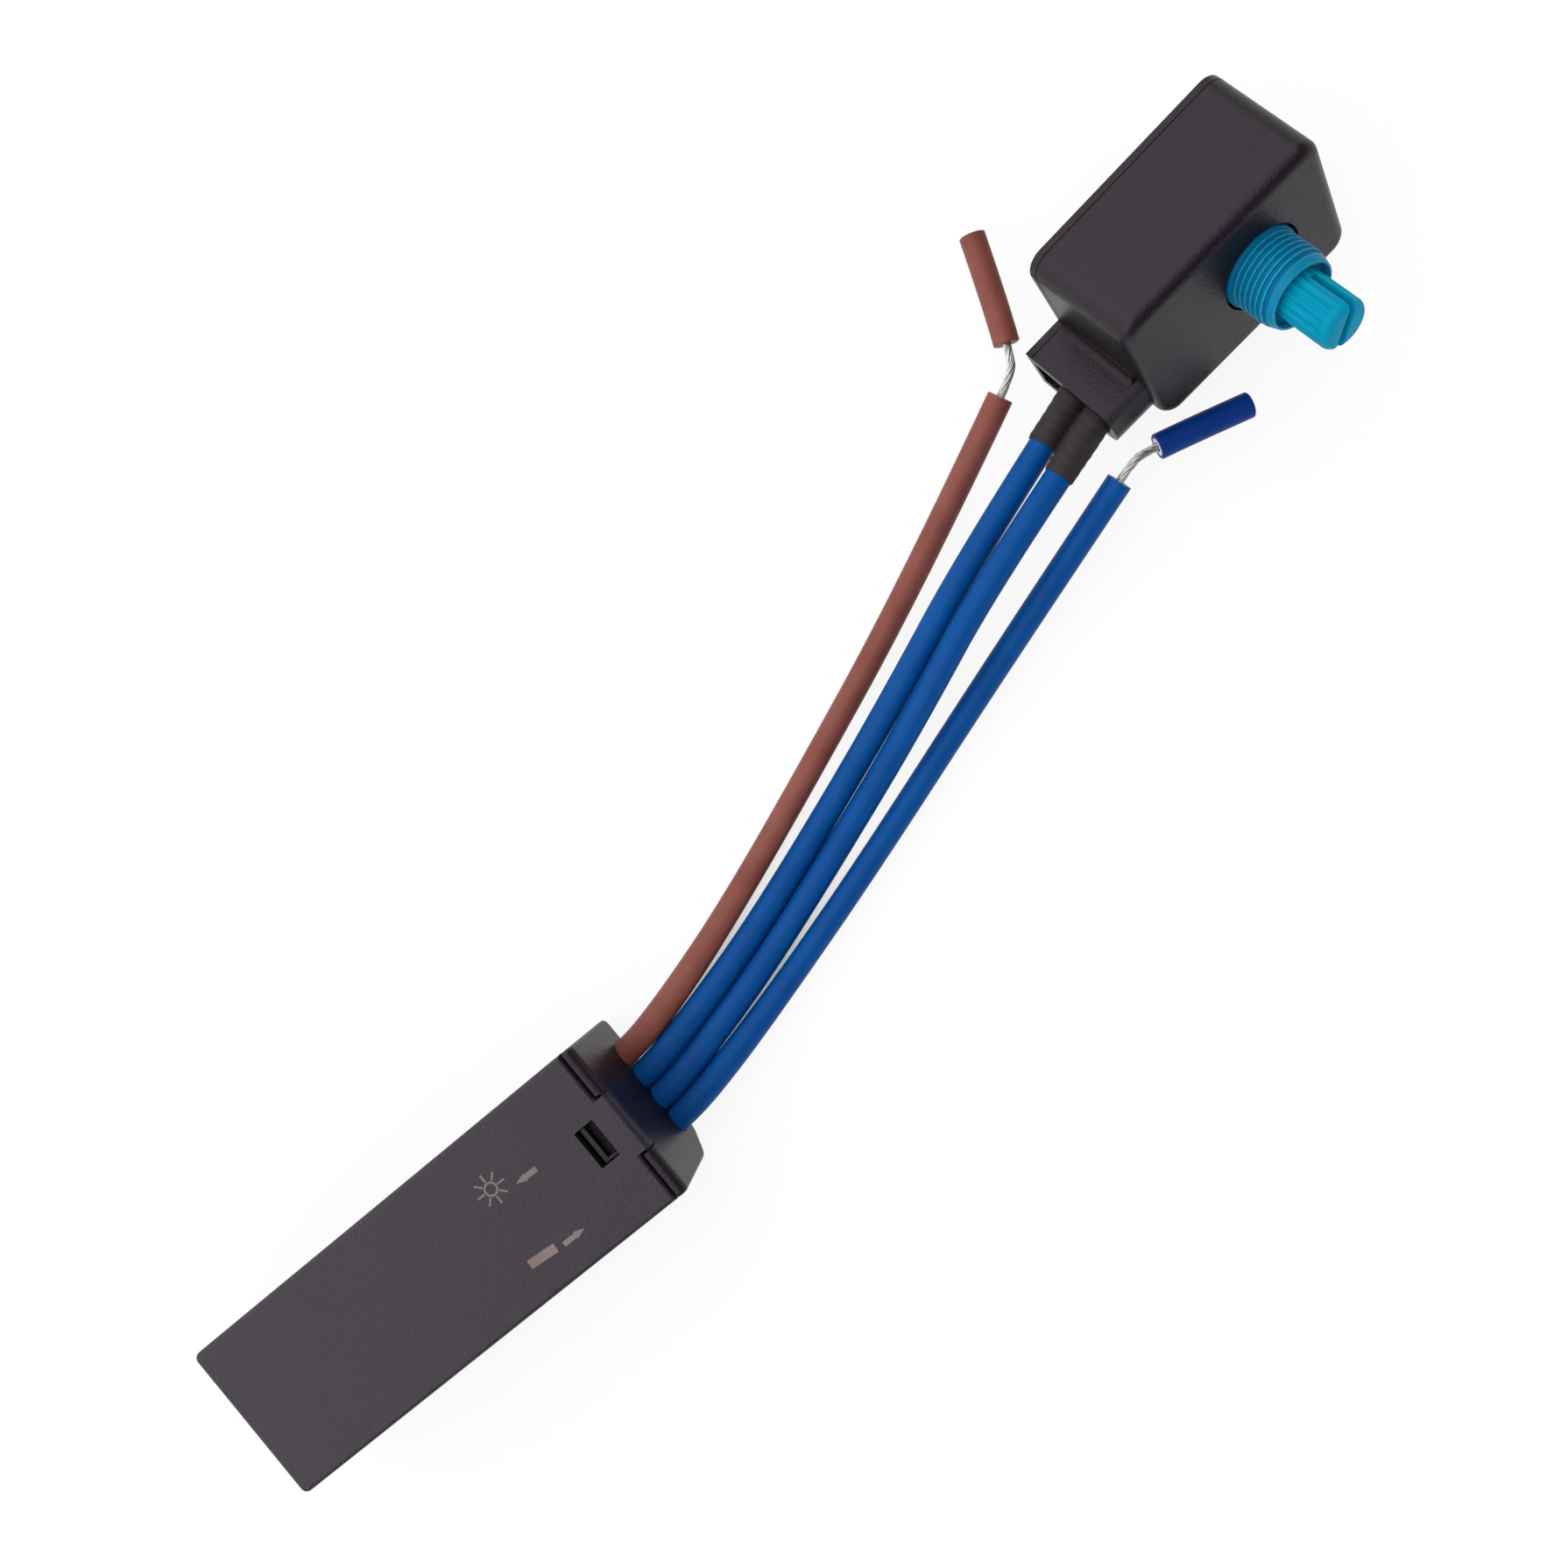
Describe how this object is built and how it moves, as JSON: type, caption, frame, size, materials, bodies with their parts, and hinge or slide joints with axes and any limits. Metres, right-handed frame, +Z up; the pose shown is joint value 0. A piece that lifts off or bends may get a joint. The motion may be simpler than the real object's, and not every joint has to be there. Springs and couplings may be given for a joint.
{
  "type": "rotary dimmer",
  "caption": "Lamp dimmer: flat black control box wired to a small potentiometer housing with a threaded bushing and a splined, slotted shaft; brown and blue leads end bare.",
  "frame": {"origin": "centre of the control box's underside", "axes": "+X to the box's wire end, +Z up out of its lid"},
  "size_m": [0.1912, 0.0652, 0.0243],
  "materials": {
    "black_plastic": "fine moulded satin",
    "teal_plastic": "moulded, satin",
    "cyan_plastic": "moulded, satin",
    "board": "laminate",
    "dark_moulding": "moulded",
    "ferrite": "sintered",
    "copper_wire": "enamelled",
    "capacitor_case": "moulded case",
    "resistor_body": "lacquered",
    "diac_glass": "lacquered",
    "fuse_glass": "fired",
    "tinned_wire": "tinned",
    "rotor_plastic": "moulded",
    "spring_brass": "stamped",
    "wafer": "laminate with a printed track",
    "tab_metal": "tinned",
    "can_metal": "drawn",
    "blue_insulation": "extruded",
    "brown_insulation": "extruded",
    "shrink_sleeve": "shrunk tube"
  },
  "bodies": {
    "module": {"control_box_base": "black_plastic", "control_box_lid": "black_plastic", "pot_housing": "black_plastic", "pot_back_cover": "black_plastic", "threaded_bushing": "teal_plastic", "circuit_board": "board", "triac": "dark_moulding", "choke_core": "ferrite", "choke_winding": "copper_wire", "interference_capacitor": "capacitor_case", "timing_capacitor": "capacitor_case", "resistors": "resistor_body", "diac": "diac_glass", "fuse": "fuse_glass", "board_wire_ends": "tinned_wire", "resistance_wafer": "wafer", "solder_tabs": "tab_metal", "pot_can": "can_metal", "link_wire_ends": "tinned_wire", "link_wire_1": "blue_insulation", "link_wire_2": "blue_insulation", "brown_lead": "brown_insulation", "blue_lead": "blue_insulation", "brown_conductor": "tinned_wire", "blue_conductor": "tinned_wire", "brown_slug": "brown_insulation", "blue_slug": "blue_insulation", "link_sleeve_1": "shrink_sleeve", "link_sleeve_2": "shrink_sleeve"},
    "shaft": {"control_shaft": "cyan_plastic", "wiper_rotor": "rotor_plastic", "wiper_contact": "spring_brass"}
  },
  "joints": [
    {"name": "shaft_turn", "type": "hinge", "parent": "module", "child": "shaft", "pos_m": [0.14841, 0.02875, 0.01567], "axis": [0.0827, -0.8717, 0.483], "range_deg": [-150, 150]}
  ]
}
